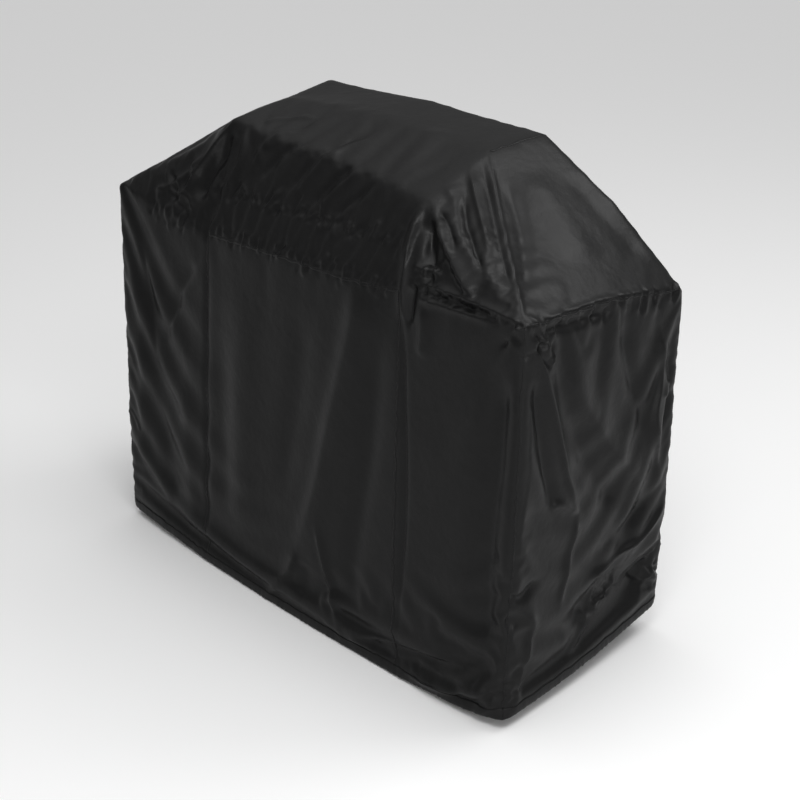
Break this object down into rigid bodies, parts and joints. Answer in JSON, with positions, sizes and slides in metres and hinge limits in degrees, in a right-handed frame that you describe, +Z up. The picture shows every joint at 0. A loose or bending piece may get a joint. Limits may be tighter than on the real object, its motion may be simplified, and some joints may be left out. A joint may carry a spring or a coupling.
{
  "type": "grill cover",
  "caption": "Loose fabric weather cover for a cart grill: raised hood section, sloped shoulders over the side shelves, straight walls and an elastic hem, open below.",
  "frame": {"origin": "centre of the footprint, at the lower edge of the hem", "axes": "+X along the cover's long side, -Y the front, +Z up"},
  "size_m": [1.47, 0.61, 1.22],
  "materials": {
    "cover_fabric": "black coated polyester taffeta with a satin shine",
    "hem_fabric": "the same black coated polyester, folded and stitched",
    "elastic": "black woven elastic band",
    "binding_tape": "black polyester tape, matte"
  },
  "bodies": {
    "root": {"back_centre_panel": "cover_fabric", "back_hem": "hem_fabric", "back_left_corner_binding": "binding_tape", "back_left_gusset": "cover_fabric", "back_left_panel": "cover_fabric", "back_left_seam_binding": "binding_tape", "back_right_corner_binding": "binding_tape", "back_right_gusset": "cover_fabric", "back_right_panel": "cover_fabric", "back_right_seam_binding": "binding_tape", "front_centre_panel": "cover_fabric", "front_hem": "hem_fabric", "front_left_corner_binding": "binding_tape", "front_left_gusset": "cover_fabric", "front_left_panel": "cover_fabric", "front_left_seam_binding": "binding_tape", "front_left_shoulder_panel": "cover_fabric", "front_right_corner_binding": "binding_tape", "front_right_gusset": "cover_fabric", "front_right_panel": "cover_fabric", "front_right_seam_binding": "binding_tape", "front_right_shoulder_panel": "cover_fabric", "hem_elastic": "elastic", "hood_back_panel": "cover_fabric", "hood_back_seam_binding": "binding_tape", "hood_face_panel": "cover_fabric", "hood_front_seam_binding": "binding_tape", "hood_slope_panel": "cover_fabric", "left_end_panel": "cover_fabric", "left_hem": "hem_fabric", "left_shelf_seam_binding": "binding_tape", "left_slope_panel": "cover_fabric", "left_top_seam_binding": "binding_tape", "right_end_panel": "cover_fabric", "right_hem": "hem_fabric", "right_shelf_seam_binding": "binding_tape", "right_slope_panel": "cover_fabric", "right_top_seam_binding": "binding_tape", "top_panel": "cover_fabric"}
  },
  "joints": []
}
